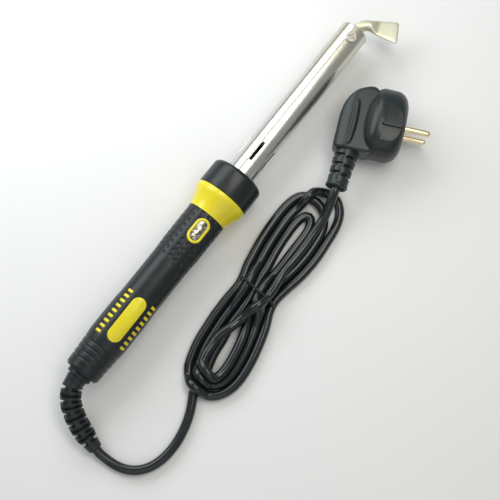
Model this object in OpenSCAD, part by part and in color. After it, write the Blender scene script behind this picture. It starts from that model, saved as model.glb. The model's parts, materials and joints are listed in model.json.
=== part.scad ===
// Mains soldering iron with a bent spade bit, its cord tied in a hank and a moulded angled plug.
// The iron lies along X with its bit towards +X. Everything stands on z = 0.

/* [Bit] */
// Diameter of the bit's round shank
bit_d = 8.4; // [6:0.1:9]
// Straight shank showing in front of the barrel
bit_straight = 1; // [1:0.5:12]
// Angle by which the bit bends sideways
bend_angle = 67; // [40:1:85]
// Radius of the bend, measured to the middle of the shank
bend_r = 11; // [7:0.5:16]
// Length of the flattened blade past the bend
blade_length = 22.5; // [18:0.5:40]
// Width of the blade at its end
blade_width = 17; // [12:0.5:24]
// Thickness of the blade
blade_thickness = 2.2; // [1.4:0.1:3.5]

/* [Barrel] */
// Outer diameter of the steel barrel
barrel_d = 22.2; // [20:0.1:26]
// Wall of the barrel tube
barrel_wall = 0.6; // [0.4:0.1:1]
// Length of barrel in front of the collar
barrel_length = 144; // [110:1:180]
// Number of vent slots around the barrel
slot_count = 5; // [3:1:6]
// Length of a vent slot
slot_length = 17; // [8:1:22]
// Width of a vent slot
slot_width = 2.6; // [1.5:0.1:3.5]
// Start of the slots, measured from the collar
slot_start = 12; // [6:1:30]
// Diameter of the set screw
screw_d = 4; // [3:0.5:5]
// Diameter of the set screw's pan head
screw_head_d = 7.8; // [6.5:0.1:9]
// Distance of the set screw from the front of the barrel
screw_inset = 10.5; // [8:0.5:13]

/* [Heater] */
// Wall of the steel tube that the bit slides in
core_wall = 0.5; // [0.3:0.1:0.8]
// Length of the front bush
bush_length = 17; // [14:0.5:24]
// Length of the rear ceramic insulator
ceramic_length = 20; // [14:1:26]
// Number of turns of heater ribbon
heater_turns = 22; // [12:1:24]

/* [Collar and ring] */
// Outer diameter of the black collar
collar_d = 41.2; // [38:0.1:48]
// Length of the black collar
collar_length = 21; // [16:0.5:30]
// Wall at the front of the collar
collar_front_wall = 3.5; // [2.5:0.5:5]
// Diameter of the yellow ring's rim, on which the iron lies
rim_d = 41.6; // [38.4:0.1:50]
// Length of the yellow ring
ring_length = 18; // [14:0.5:26]
// Diameter of the steel flange at the rear of the barrel
flange_d = 35.4; // [33:0.1:36.4]
// Thickness of the steel flange
flange_thickness = 1.5; // [1:0.1:2.5]

/* [Handle] */
// Length of the handle shell
handle_length = 143; // [125:1:180]
// Diameter of the handle at its waist
handle_d = 29; // [27.5:0.1:33]
// How much wider the handle is at its two swells
swell = 1.1; // [0.6:0.1:2]
// Diameter of the hollow in the handle
cavity_d = 22.4; // [20:0.1:23]
// Angle by which the badge and label are turned from the top
face_roll = 18; // [0:1:40]
// Length of the oval badge
badge_length = 20; // [14:0.5:26]
// Width of the oval badge
badge_width = 11.6; // [9:0.2:14]
// Length of the label
label_length = 37; // [28:0.5:44]
// Width of the label
label_width = 11.4; // [8:0.2:13]
// Number of yellow bars on each side of the label
bar_count = 9; // [5:1:9]
// Number of grooves around the rear of the handle
groove_count = 4; // [2:1:5]

/* [Cord] */
// Diameter of the cord
cord_d = 7; // [6:0.1:7.4]
// Diameter of the flexible boot
boot_d = 15; // [12:0.1:16]
// Height of the tied hank
hank_height = 12.5; // [10:0.5:12.6]
// Thickness of the tie's wire
tie_d = 1.6; // [1:0.1:2.5]

/* [Plug] */
// Diameter of the plug's pins
pin_d = 4.8; // [4:0.1:4.8]
// Length of the pins in front of the plug
pin_length = 19; // [17:0.5:19]
// Distance between the pins
pin_spacing = 19; // [17.5:0.5:19]
// Height of the plug as it lies on its side
plug_height = 40; // [37:0.5:44]
// Half width of the plug's round front
plug_r = 27.5; // [26:0.1:30]

/* [Hidden] */
$fn = 64;

// Clearances and small shared sizes
slip = 0.05;            // radial gap of a sliding or assembled fit
loose = 0.3;            // radial gap of an easy fit
eps = 0.02;             // overrun of a cut

// Stations along the iron, measured from the rear of the handle
ring_x = handle_length;
collar_x = ring_x + ring_length;
nose_x = collar_x + collar_length;
barrel_end = nose_x + barrel_length;
bush_x = barrel_end - bush_length - 0.8;
ceramic_x = nose_x + slot_start + slot_length + 2;
core_x = ceramic_x + ceramic_length;
core_seat = 8;          // depth by which the core tube enters the rear ceramic
mica_x = core_x + 0.4;
front_ceramic_length = 6;
mica_end = bush_x - front_ceramic_length - 0.8;

// Radii
barrel_r = barrel_d / 2;
barrel_bore = barrel_r - barrel_wall;
bit_r = bit_d / 2;
core_r = bit_r + slip + core_wall;
inner_mica_r = core_r + 0.7;
winding_r = inner_mica_r + slip + 0.6;
outer_mica_r = winding_r + slip + 0.5;
rim_r = rim_d / 2;
collar_r = collar_d / 2;
handle_r = handle_d / 2;
cavity_r = cavity_d / 2;
spigot_r = cavity_r + 1.8;
spigot_length = 8;
flange_r = flange_d / 2;
cord_r = cord_d / 2;
axis_z = rim_r;

// Bit: the bend, and the blade's outline in its own frame with X along the blade
bend_x = barrel_end + bit_straight;
root_x = bend_x + bend_r * sin(bend_angle);
root_y = -bend_r * (1 - cos(bend_angle));
blade_skew = 0.6;       // sideways offset of the blade's end
blade_slant = 6;       // angle of the end edge
blade_corner = 2.4;
blade_neck = 6;         // length over which the round shank turns flat
half_end = blade_width / 2;
end_rise = half_end * tan(blade_slant);
blade_outline = concat(
    [[blade_neck, bit_r + 0.8]],
    corner_arc([blade_length - end_rise - blade_corner, half_end - blade_skew - blade_corner],
        90, -blade_slant, blade_corner),
    corner_arc([blade_length - blade_corner, -half_end - blade_skew + blade_corner],
        -blade_slant, -95, blade_corner),
    [[blade_length * 0.42, -bit_r - 1.6], [blade_neck, -bit_r - 0.8]]
);
blade_in_iron = [for (p = blade_outline)
    [root_x + p[0] * cos(bend_angle) + p[1] * sin(bend_angle),
     root_y - p[0] * sin(bend_angle) + p[1] * cos(bend_angle)]];
blade_reach_x = max([for (p = blade_in_iron) p[0]]);
blade_reach_y = min([for (p = blade_in_iron) p[1]]);

// The origin stands below the middle of the iron's box
middle_x = blade_reach_x / 2;
middle_y = (rim_r + blade_reach_y) / 2;

// Set screw
screw_x = barrel_end - screw_inset;
screw_roll = 11;
screw_head_h = 2.4;
slot_roll = 4;

// Handle profile: [station, radius] pairs that a smooth curve joins
tail_r = handle_r - 1.1;
swell_r = handle_r + swell / 2;
handle_stations = [
    [0, tail_r - 0.9], [2.2, tail_r], [9, tail_r + 0.25], [20, handle_r - 0.2],
    [31, swell_r], [52, swell_r], [68, handle_r], [handle_length - 42, handle_r],
    [handle_length - 28, swell_r], [handle_length, swell_r + 0.1]
];
rear_wall = 4;
groove_x = 8.9;
groove_pitch = 4.5;
groove_r = 0.55;
inlay_floor = handle_r - 0.9;   // radius of the floor under the badge, label and bars
badge_x = handle_length - 14;
badge_rim = 2;
label_x = 48.5;
bar_pitch = 4.4;
bar_size = [2.2, 4.8];
bar_spread = 45.5;

// Inside the handle
neck_bore = 7.6;
clamp_x = 12;
clamp_length = 10;
clamp_screw_y = cavity_r - 4.3;
terminal_x = 42;
terminal_length = 22;
terminal_y = 4.5;
terminal_top = 4.6;
core_wire_r = 1.2;
sleeve_r = 1.3;
sheath_end = clamp_x + clamp_length + 3;

// Flange screws
flange_screw_ring = (cavity_r + flange_r) / 2 + 0.2;
flange_screw_r = 1.5;
flange_screw_count = 3;

// Cord route: [along the iron from its rear, sideways from its axis, height]
boot_route = [
    [-3.6, 0, axis_z], [-9, -0.6, axis_z * 0.99], [-14.5, -2.8, axis_z * 0.94],
    [-20, -6.6, axis_z * 0.85], [-24.5, -12, axis_z * 0.73], [-28.5, -19, axis_z * 0.59],
    [-31.5, -26, axis_z * 0.46], [-33.8, -33, axis_z * 0.36], [-35.5, -40, axis_z * 0.29]
];
lead_route = [
    boot_route[8], [-37, -47, 4.6], [-37.5, -54, 3.8], [-36.5, -62, 3.5],
    [-32.5, -70.5, 3.5], [-25.5, -77.5, 3.5], [-16, -81.5, 3.5], [-5, -83, 3.5],
    [6, -82.5, 3.5], [17, -80, 3.5], [27, -76.5, 3.5], [36, -72.5, 3.5]
];
tail_route = [
    [219.5, -61, 20], [213, -63.5, 19.2], [206, -65.8, 17.4], [199, -67.6, 15],
    [192, -69, 12.8], [185, -69.8, 11]
];
boot_end_r = cord_r + 1;
tube_sides = 10;

// Hank: two lobes that meet at the tie
tie_x = 123;
tie_y = -62;
tie_half = 15.2;
waist = 4;              // half length of the narrow stretch at the tie
front_lobe = [98, 24, 2, 34];     // reach, half width, angle in plan, length of the round end
rear_lobe = [89, 24.3, 189.5, 30];

// Plug: its own frame has X along the pins, with the cord leaving towards -Y
plug_x = 282.7;
plug_y = -76.2;
plug_turn = -66;
plug_z = plug_height / 2;
plug_lean = 3;          // how much further the round front reaches on its upper side
panel_depth = 17;       // how far back the flat panels run
panel_z = plug_z - 2.4;
// Round front as [station, part of the full section's size]
front_sections = [
    [-31.5, 0.2], [-30, 0.56], [-28.7, 0.69], [-27, 0.8], [-25, 0.895], [-22.5, 0.965],
    [-19.5, 1], [-10, 1], [-7.5, 0.985], [-5, 0.94], [-3, 0.875], [-1.5, 0.79], [-0.1, 0.62]
];
guide_y = -3.4;         // place of the guide groove across the panel
pin_root_r = pin_d / 2 - 0.5;
pin_shoulder = 0.3;     // where the pin's full size begins, in front of the plug
grip_height = 22;
neck_root = [-37.3, -22.5];
neck_tip = [-39.4, -52.1];
neck_root_r = 9.9;
neck_tip_r = 7.2;
grip_outline = [
    [-17, 16], [-24.4, 25.6], [-28.3, 27.4], [-34.2, 25.8], [-41, 21.6], [-46.3, 14.2],
    [-48.9, 4.7], [-49.2, -8.3], [-49.2, -21.3], [-47.1, -24.4], [-34.9, -24.7],
    [-21.6, -23.5], [-17, -15]
];
carrier_size = [12, 12, 28];
carrier_inset = 2;

// Points of an arc about c from angle a to angle b
function corner_arc(c, a, b, r, n = 6) =
    [for (i = [0:n]) let (t = a + (b - a) * i / n) [c[0] + r * cos(t), c[1] + r * sin(t)]];

function ease(t) = (1 - cos(180 * t)) / 2;

// Radius at station x of a profile given as [station, radius] pairs
function profile_r(x, list, i = 0) =
    i >= len(list) - 2 || x <= list[i + 1][0]
        ? list[i][1] + (list[i + 1][1] - list[i][1])
            * ease(min(1, max(0, (x - list[i][0]) / (list[i + 1][0] - list[i][0]))))
        : profile_r(x, list, i + 1);

// Catmull-Rom point at t between route[i] and route[i + 1]
function route_point(route, i, t) =
    let (n = len(route) - 1,
         a = route[max(0, i - 1)], b = route[i], c = route[min(n, i + 1)], d = route[min(n, i + 2)])
    0.5 * (2 * b + (c - a) * t + (2 * a - 5 * b + 4 * c - d) * t * t
        + (3 * b - a - 3 * c + d) * t * t * t);

function unit(v) = v / norm(v);

// Frame across a direction that never points straight up
function side_of(v) = unit(cross([0, 0, 1], v));

// A closed tube through a route: r0 and r1 are its end radii, per the rings between two points
module route_tube(route, r0, r1, per = 1, sides = tube_sides) {
    n = (len(route) - 1) * per;
    rings = [for (k = [0:n])
        k == n ? route_point(route, len(route) - 2, 1)
            : route_point(route, floor(k / per), (k % per) / per)];
    points = [for (k = [0:n])
        let (v = unit(rings[min(n, k + 1)] - rings[max(0, k - 1)]),
             s = side_of(v), u = cross(v, s), r = r0 + (r1 - r0) * ease(k / n))
        for (j = [0:sides - 1])
            rings[k] + r * cos(360 * j / sides) * s + r * sin(360 * j / sides) * u];
    faces = concat(
        [[for (j = [0:sides - 1]) j]],
        [for (k = [0:n - 1]) for (j = [0:sides - 1])
            let (m = (j + 1) % sides)
            [k * sides + j, (k + 1) * sides + j, (k + 1) * sides + m, k * sides + m]],
        [[for (j = [sides - 1:-1:0]) n * sides + j]]);
    polyhedron(points, faces, convexity = 6);
}

// Children drawn with X along the iron's axis, measured from the rear of the handle
module in_iron() translate([-middle_x, -middle_y, axis_z]) children();

// Children drawn in the plan of the iron, standing on z = 0
module on_floor() translate([-middle_x, -middle_y, 0]) children();

module in_plug() on_floor() translate([plug_x, plug_y, plug_z]) rotate([0, 0, plug_turn]) children();

// A rod along X from x0 to x1
module rod(x0, x1, r) translate([x0, 0, 0]) rotate([0, 90, 0]) cylinder(h = x1 - x0, r = r);

module tube(x0, x1, r_out, r_in) difference() {
    rod(x0, x1, r_out);
    rod(x0 - eps, x1 + eps, r_in);
}

// A solid turned about X from [x, radius] points
module turned(points) rotate([0, 90, 0]) rotate_extrude()
    polygon([for (p = points) [p[1], p[0]]]);

// Children turned from the top of the iron towards -Y
module rolled(angle) rotate([angle, 0, 0]) children();

// A flat-sided oval block above the handle's axis
module oval_block(x, length, width) translate([x, 0, 0]) linear_extrude(height = handle_d)
    union() {
        square([length - width, width], center = true);
        for (s = [-1, 1]) translate([s * (length - width) / 2, 0]) circle(d = width);
    }

module ring_shell(x, span, r_out, r_in) tube(x - span / 2, x + span / 2, r_out, r_in);

// ---- Bit ----
module soldering_bit() color("peru") in_iron() {
    rod(core_x + 0.5, bend_x, bit_r);
    rod(bend_x - 1, bend_x + 0.6, bit_r - 0.7);
    translate([bend_x, -bend_r, 0]) rotate([0, 0, 90 - bend_angle])
        rotate_extrude(angle = bend_angle) translate([bend_r, 0]) circle(r = bit_r);
    translate([root_x, root_y, 0]) rotate([0, 0, -bend_angle]) {
        hull() {
            rod(-0.6, -0.5, bit_r - 0.06);
            translate([blade_neck, -bit_r - 0.8, -blade_thickness / 2])
                cube([0.4, bit_d + 1.6, blade_thickness]);
        }
        translate([0, 0, -blade_thickness / 2]) linear_extrude(height = blade_thickness)
            polygon(blade_outline);
    }
}

module set_screw() color("silver") in_iron() translate([screw_x, 0, 0]) rolled(screw_roll)
    difference() {
        union() {
            translate([0, 0, bit_r + slip])
                cylinder(h = barrel_r - bit_r, d = screw_d);
            translate([0, 0, barrel_r + slip]) cylinder(h = screw_head_h, d = screw_head_d);
        }
        for (a = [0, 90]) rotate([0, 0, a])
            translate([-screw_head_d * 0.32, -0.45, barrel_r + screw_head_h * 0.5])
                cube([screw_head_d * 0.64, 0.9, screw_head_h]);
    }

// ---- Barrel and heater ----
module barrel() color("gainsboro") in_iron() difference() {
    union() {
        tube(collar_x, barrel_end - 0.8, barrel_r, barrel_bore);
        turned([[barrel_end - 0.8, barrel_bore], [barrel_end - 0.8, barrel_r],
            [barrel_end - 0.25, barrel_r - 0.2], [barrel_end, barrel_r - 0.8],
            [barrel_end, bit_r + 1.6], [barrel_end - 0.6, bit_r + 1.6],
            [barrel_end - 0.6, barrel_bore]]);
    }
    for (i = [0:slot_count - 1]) rolled(slot_roll + i * 360 / slot_count) vent_cut();
    translate([screw_x, 0, 0]) rolled(screw_roll) cylinder(h = barrel_d, d = screw_d + 2 * loose);
}

module vent_cut() {
    x0 = nose_x + slot_start;
    translate([x0 + slot_width / 2, -slot_width / 2, 0])
        cube([slot_length - slot_width, slot_width, barrel_d]);
    for (x = [x0 + slot_width / 2, x0 + slot_length - slot_width / 2])
        translate([x, 0, 0]) cylinder(h = barrel_d, d = slot_width);
}

module nose_bush() color("darkgray") in_iron() difference() {
    rod(bush_x, barrel_end - 0.9, barrel_bore - slip);
    rod(bush_x - eps, barrel_end, bit_r + slip);
    translate([screw_x, 0, 0]) rolled(screw_roll) cylinder(h = barrel_d, d = screw_d + 2 * slip);
}

module core_tube() color("slategray") in_iron()
    tube(core_x - core_seat, bush_x - 0.2, core_r, bit_r + slip);

module inner_mica() color("goldenrod") in_iron()
    tube(mica_x, mica_end, inner_mica_r, core_r + slip);

module heater_winding() color("dimgray") in_iron() {
    pitch = (mica_end - mica_x - 6) / heater_turns;
    for (i = [0:heater_turns - 1]) let (x = mica_x + 3 + i * pitch)
        tube(x, x + pitch * 0.45, winding_r, inner_mica_r + slip);
}

module outer_mica() color("khaki") in_iron()
    tube(mica_x, mica_end, outer_mica_r, winding_r + slip);

module front_ceramic() color("ivory") in_iron()
    tube(bush_x - front_ceramic_length - 0.4, bush_x - 0.4, barrel_bore - slip, core_r + slip);

module rear_ceramic() color("ivory") in_iron() difference() {
    rod(ceramic_x, core_x, barrel_bore - slip);
    rod(core_x - core_seat - slip, core_x + eps, core_r + slip);
    for (s = [-1, 1]) translate([0, s * terminal_y, 0])
        rod(ceramic_x - eps, core_x - core_seat, sleeve_r + 2 * slip);
}

module barrel_flange() color("silver") in_iron() difference() {
    rod(collar_x + slip, collar_x + flange_thickness, flange_r);
    rod(collar_x - eps, collar_x + flange_thickness + eps, barrel_r + slip);
    flange_screw_places() rod(collar_x - eps, collar_x + flange_thickness + eps,
        flange_screw_r + slip);
}

module flange_screw_places() for (i = [0:flange_screw_count - 1])
    rotate([i * 360 / flange_screw_count, 0, 0]) translate([0, 0, flange_screw_ring]) children();

module flange_screws() color("gray") in_iron() flange_screw_places() {
    rod(collar_x - 8, collar_x + flange_thickness + slip, flange_screw_r);
    rod(collar_x + flange_thickness + slip, collar_x + flange_thickness + 2, 2.6);
}

// ---- Collar, ring and handle ----
module front_collar() color("darkslategray") in_iron() difference() {
    turned(concat(
        [[collar_x, 0], [collar_x, collar_r - 0.2], [collar_x + 0.3, collar_r]],
        [for (t = [0:15:90]) [nose_x - 3.2 + 3.2 * sin(t), collar_r - 3.8 + 3.2 * cos(t)]],
        [[nose_x, 0]]));
    rod(collar_x - eps, nose_x - collar_front_wall, flange_r + slip);
    rod(collar_x, nose_x + eps, barrel_r + loose);
}

module yellow_ring() color("gold") in_iron() difference() {
    turned(concat(
        [[ring_x, 0]],
        [for (t = [0:0.1:1]) [ring_x + t * (ring_length - 5), swell_r + 0.5
            + (rim_r - 0.6 - swell_r - 0.5) * pow(t, 1.7)]],
        [[collar_x - 4.2, rim_r - 0.1], [collar_x - 3.4, rim_r], [collar_x - 1, rim_r],
         [collar_x, rim_r - 0.5], [collar_x, 0]]));
    rod(ring_x - eps, ring_x + spigot_length + 0.2, spigot_r + slip);
    rod(ring_x, collar_x + eps, cavity_r);
    flange_screw_places() rod(collar_x - 8.5, collar_x + eps, flange_screw_r + slip);
}

module handle_body() color("darkslategray") in_iron() difference() {
    union() {
        turned(concat(
            [[0, 0]],
            [for (x = [0:handle_length / 52:handle_length + eps]) [x, profile_r(x, handle_stations)]],
            [[handle_length, 0]]));
        rod(handle_length - 1, handle_length + spigot_length, spigot_r);
    }
    rod(rear_wall, handle_length + spigot_length + eps, cavity_r);
    rod(-eps, rear_wall + eps, neck_bore);
    for (i = [0:groove_count - 1]) let (x = groove_x + i * groove_pitch)
        translate([x, 0, 0]) rotate([0, 90, 0]) rotate_extrude()
            translate([profile_r(x, handle_stations) + 0.1, 0]) circle(r = groove_r, $fn = 24);
    difference() {
        union() {
            rolled(face_roll) {
                oval_block(badge_x, badge_length + 2 * slip, badge_width + 2 * slip);
                oval_block(label_x, label_length + 2 * slip, label_width + 2 * slip);
            }
            bar_blocks(slip);
        }
        rod(0, handle_length, inlay_floor);
    }
}

module bar_blocks(grow) for (s = [-1, 1]) rolled(face_roll + s * bar_spread)
    for (i = [0:bar_count - 1])
        translate([label_x + (i - (bar_count - 1) / 2) * bar_pitch, 0, handle_r])
            cube([bar_size[0] + 2 * grow, bar_size[1] + 2 * grow, 6], center = true);

module badge_frame() color("gold") in_iron() intersection() {
    rolled(face_roll) difference() {
        oval_block(badge_x, badge_length, badge_width);
        oval_block(badge_x, badge_length - 2 * badge_rim, badge_width - 2 * badge_rim);
    }
    ring_shell(badge_x, badge_length + 2, swell_r + 0.9, inlay_floor + slip);
}

module badge_plate() color("silver") in_iron() intersection() {
    rolled(face_roll) oval_block(badge_x, badge_length - 2 * badge_rim - 2 * slip,
        badge_width - 2 * badge_rim - 2 * slip);
    ring_shell(badge_x, badge_length, swell_r + 0.3, inlay_floor + slip);
}

module label_plate() color("gold") in_iron() intersection() {
    rolled(face_roll) oval_block(label_x, label_length, label_width);
    ring_shell(label_x, label_length + 2, swell_r + 0.25, inlay_floor + slip);
}

module grip_bars() color("gold") in_iron() intersection() {
    bar_blocks(0);
    ring_shell(label_x, label_length + 12, swell_r + 0.4, inlay_floor + slip);
}

// ---- Wiring in the handle ----
module terminal_block() color("ivory") in_iron() difference() {
    intersection() {
        rod(terminal_x, terminal_x + terminal_length, cavity_r - 2 * slip);
        translate([terminal_x - 1, -terminal_y * 2, -cavity_r])
            cube([terminal_length + 2, terminal_y * 4, cavity_r + terminal_top]);
    }
    for (s = [-1, 1]) translate([0, s * terminal_y, 0]) {
        rod(terminal_x - eps, terminal_x + terminal_length + eps, 2.2);
        for (x = terminal_screw_xs()) translate([x, 0, 0]) cylinder(h = terminal_top + 1, r = 1.9);
    }
}

function terminal_screw_xs() = [terminal_x + 5, terminal_x + terminal_length - 5];

module terminal_sleeves() color("goldenrod") in_iron() for (s = [-1, 1])
    translate([0, s * terminal_y, 0]) difference() {
        rod(terminal_x + 1.5, terminal_x + terminal_length - 1.5, 2.2 - slip);
        rod(terminal_x, terminal_x + terminal_length, sleeve_r + 2 * slip);
        for (x = terminal_screw_xs()) translate([x, 0, 0]) cylinder(h = terminal_top, r = 1.3);
    }

module terminal_screws() color("silver") in_iron() for (s = [-1, 1]) for (x = terminal_screw_xs())
    translate([x, s * terminal_y, 0]) difference() {
        union() {
            translate([0, 0, sleeve_r + slip]) cylinder(h = 1, r = 1.25);
            translate([0, 0, 2.3]) cylinder(h = terminal_top - 2.5, r = 1.8);
        }
        translate([-2, -0.3, terminal_top - 0.9]) cube([4, 0.6, 1]);
    }

module element_leads() color("linen") in_iron() for (s = [-1, 1])
    translate([0, s * terminal_y, 0])
        rod(terminal_x + terminal_length / 2 + 0.5, core_x - core_seat - 1, sleeve_r);

// Each core leaves the sheath at its middle and fans out to its terminal
module cord_cores() color("saddlebrown") in_iron() for (s = [-1, 1]) let (
    y0 = s * (core_wire_r + 0.3), y1 = s * terminal_y,
    x0 = sheath_end + slip, x1 = terminal_x - 2, x2 = terminal_x + terminal_length / 2 - 0.5)
    route_tube([[x0, y0, 0], [x0 + 3, y0, 0], [(x0 + x1) / 2, (y0 + y1) / 2, 0], [x1, y1, 0],
        [(x1 + x2) / 2, y1, 0], [x2, y1, 0]], core_wire_r, core_wire_r, 2, 8);

module cord_sheath() color("darkslategray") in_iron() rod(-3.4, sheath_end, cord_r);

module clamp_saddle() color("dimgray") in_iron() difference() {
    intersection() {
        rod(clamp_x, clamp_x + clamp_length, cavity_r - 2 * slip);
        translate([clamp_x - 1, -cavity_r, -cavity_r]) cube([clamp_length + 2, cavity_d, cavity_r - 0.6]);
    }
    rod(clamp_x - eps, clamp_x + clamp_length + eps, cord_r + slip);
    clamp_screw_places() translate([0, 0, -7]) cylinder(h = 8, r = 1.3 + slip);
}

module clamp_bar() color("dimgray") in_iron() difference() {
    intersection() {
        rod(clamp_x, clamp_x + clamp_length, cavity_r - 2 * slip);
        translate([clamp_x - 1, -cavity_r, 0.4]) cube([clamp_length + 2, cavity_d, cord_r + 1.6]);
    }
    rod(clamp_x - eps, clamp_x + clamp_length + eps, cord_r + slip);
    clamp_screw_places() cylinder(h = 8, r = 1.3 + slip);
}

module clamp_screw_places() for (s = [-1, 1])
    translate([clamp_x + clamp_length / 2, s * clamp_screw_y, 0]) children();

module clamp_screws() color("silver") in_iron() clamp_screw_places() {
    translate([0, 0, -6.5]) cylinder(h = cord_r + 8.55, r = 1.3);
    translate([0, 0, cord_r + 2 + slip]) cylinder(h = 1.2, r = 1.9);
}

// ---- Cord ----
module cord_boot() color("dimgray") {
    in_iron() difference() {
        union() {
            rod(-3.6, -slip, boot_d / 2 + 1.7);
            rod(-3.6, rear_wall + slip, neck_bore - slip);
            rod(rear_wall + slip, rear_wall + 2, neck_bore + 1.8);
        }
        rod(-3.4 - slip, rear_wall + 3, cord_r + slip);
    }
    on_floor() route_tube(boot_route, boot_d / 2, boot_end_r, 2, 12);
}

module cord_lead() color("darkslategray") on_floor() route_tube(lead_route, cord_r, cord_r, 1);

module cord_tail() color("darkslategray") on_floor() route_tube(tail_route, cord_r, cord_r, 1);

// Half outline of a lobe: a leg that widens from the tie, then a quarter of an ellipse
function lobe_side(lobe, side) =
    let (reach = lobe[0], half = lobe[1], cap = lobe[3], leg = reach - cap)
    concat(
        [for (i = [0:6]) [waist + (leg - waist) * i / 6,
            side * (tie_half + (half - tie_half) * sin(15 * i))]],
        [for (i = [1:7]) [leg + cap * sin(90 * i / 8), side * half * cos(90 * i / 8)]]);

// Outline of a lobe from one side of the tie, around its end and back, turned by the lobe's angle
function lobe_outline(lobe) = let (
    back = lobe_side(lobe, -1), c = cos(lobe[2]), s = sin(lobe[2]),
    points = concat(lobe_side(lobe, 1), [[lobe[0], 0]],
        [for (i = [len(back) - 1:-1:0]) back[i]]))
    [for (p = points) [p[0] * c - p[1] * s, p[0] * s + p[1] * c]];

module cord_hank() color("darkslategray") on_floor() translate([tie_x, tie_y, 0])
    linear_extrude(height = hank_height)
        polygon(concat(lobe_outline(front_lobe), lobe_outline(rear_lobe)));

module hank_tie() color("black") on_floor() translate([tie_x, tie_y, 0]) rotate([0, 0, -4])
    translate([-tie_d / 2, 0, 0]) rotate([90, 0, 90]) linear_extrude(height = tie_d)
        difference() {
            tie_section(tie_half + tie_d, hank_height + tie_d, 0);
            tie_section(tie_half + slip, hank_height + slip, tie_d);
        }

// Section across the hank at the tie, from height low to high
module tie_section(half, high, low) {
    bevel = 3;
    polygon([[-half + bevel, low], [half - bevel, low], [half, low + bevel], [half, high - bevel],
        [half - bevel, high], [-half + bevel, high], [-half, high - bevel], [-half, low + bevel]]);
}

// ---- Plug ----
// Section of the round front: two half ovals that share their height
function front_outline() = [for (i = [0:39]) let (a = i * 9, c = cos(a), k = c > 0 ? 1 : 0.8)
    [(plug_r + sign(c) * plug_lean) * sign(c) * pow(abs(c), k), plug_z * sign(sin(a)) * pow(abs(sin(a)), k)]];

module plug_body() color("darkslategray") in_plug() difference() {
    union() {
        hull() for (d = front_sections) translate([d[0], 0, 0]) rotate([90, 0, 90])
            linear_extrude(height = 0.1) scale(d[1]) polygon(front_outline());
        translate([0, 0, -grip_height / 2]) linear_extrude(height = grip_height)
            polygon(grip_outline);
        translate([neck_root[0], neck_root[1] + 3, 0])
            rotate([90, 0, atan2(neck_tip[0] - neck_root[0], neck_root[1] - neck_tip[1])])
            cylinder(h = norm(neck_tip - neck_root) + 3, r1 = neck_root_r, r2 = neck_tip_r);
    }
    translate([-carrier_inset - carrier_size[0] - slip, -carrier_size[1] / 2 - slip,
        -carrier_size[2] / 2 - slip]) cube(carrier_size + 2 * [slip, slip, slip]);
    pin_places() rod(-carrier_inset - eps, eps, pin_root_r + slip);
    for (s = [0, 1]) rotate([s * 180, 0, 0]) {
        translate([-panel_depth, -plug_height, panel_z])
            cube([panel_depth + 1, 2 * plug_height, plug_z]);
        translate([-panel_depth - 1, (s == 0 ? guide_y : -guide_y) - 0.7, panel_z - 1.5])
            cube([panel_depth + 2, 1.4, 3]);
    }
}

module pin_places() for (s = [-1, 1]) translate([0, 0, s * pin_spacing / 2]) children();

module plug_pins() color("khaki") in_plug() pin_places() {
    rod(-carrier_inset - carrier_size[0] + 2, pin_shoulder, pin_root_r);
    rod(pin_shoulder, pin_length - pin_d / 2, pin_d / 2);
    translate([pin_length - pin_d / 2, 0, 0]) sphere(d = pin_d);
}

module pin_carrier() color("dimgray") in_plug() difference() {
    translate([-carrier_inset - carrier_size[0], -carrier_size[1] / 2, -carrier_size[2] / 2])
        cube(carrier_size);
    pin_places() rod(-carrier_inset - carrier_size[0] + 2 - slip, eps, pin_root_r + slip);
}

soldering_bit();
set_screw();
barrel();
nose_bush();
core_tube();
inner_mica();
heater_winding();
outer_mica();
front_ceramic();
rear_ceramic();
barrel_flange();
flange_screws();
front_collar();
yellow_ring();
handle_body();
badge_frame();
badge_plate();
label_plate();
grip_bars();
terminal_block();
terminal_sleeves();
terminal_screws();
element_leads();
cord_cores();
cord_sheath();
clamp_saddle();
clamp_bar();
clamp_screws();
cord_boot();
cord_lead();
cord_hank();
cord_tail();
hank_tie();
plug_body();
plug_pins();
pin_carrier();
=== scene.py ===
import json
import math

import bmesh
import bpy
import numpy as np
from mathutils import Matrix, Vector


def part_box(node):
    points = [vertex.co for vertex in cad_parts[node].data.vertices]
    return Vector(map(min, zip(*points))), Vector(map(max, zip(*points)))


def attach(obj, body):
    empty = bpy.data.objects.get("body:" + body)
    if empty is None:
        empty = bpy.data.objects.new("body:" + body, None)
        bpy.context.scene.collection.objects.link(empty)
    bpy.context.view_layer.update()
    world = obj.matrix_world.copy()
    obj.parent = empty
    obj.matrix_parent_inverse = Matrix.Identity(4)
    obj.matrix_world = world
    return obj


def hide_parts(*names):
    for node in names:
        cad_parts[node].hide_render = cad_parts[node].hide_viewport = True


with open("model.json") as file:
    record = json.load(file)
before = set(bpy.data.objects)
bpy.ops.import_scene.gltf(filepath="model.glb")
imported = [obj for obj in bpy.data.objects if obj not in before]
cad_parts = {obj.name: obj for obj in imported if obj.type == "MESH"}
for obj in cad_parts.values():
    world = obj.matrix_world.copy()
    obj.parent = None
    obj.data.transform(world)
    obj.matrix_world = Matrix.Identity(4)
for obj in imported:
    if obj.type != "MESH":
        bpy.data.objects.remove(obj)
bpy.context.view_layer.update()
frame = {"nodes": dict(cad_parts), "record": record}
mm = 0.001
print("frame loaded:", len(frame["nodes"]), "nodes")

# The iron's own millimetres: x from the rear of the handle, y and z from the axis.
# The floor's own millimetres: the same x and y, with z from the floor.
handleLow, handleHigh = [np.array(corner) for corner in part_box("handle_body")]
barrelLow, barrelHigh = [np.array(corner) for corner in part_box("barrel")]
rearX = handleLow[0]
axisY = (barrelLow[1] + barrelHigh[1]) / 2
axisZ = (barrelLow[2] + barrelHigh[2]) / 2


def inIron(points):
    return np.asarray(points, float) * mm + np.array([rearX, axisY, axisZ])


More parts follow.
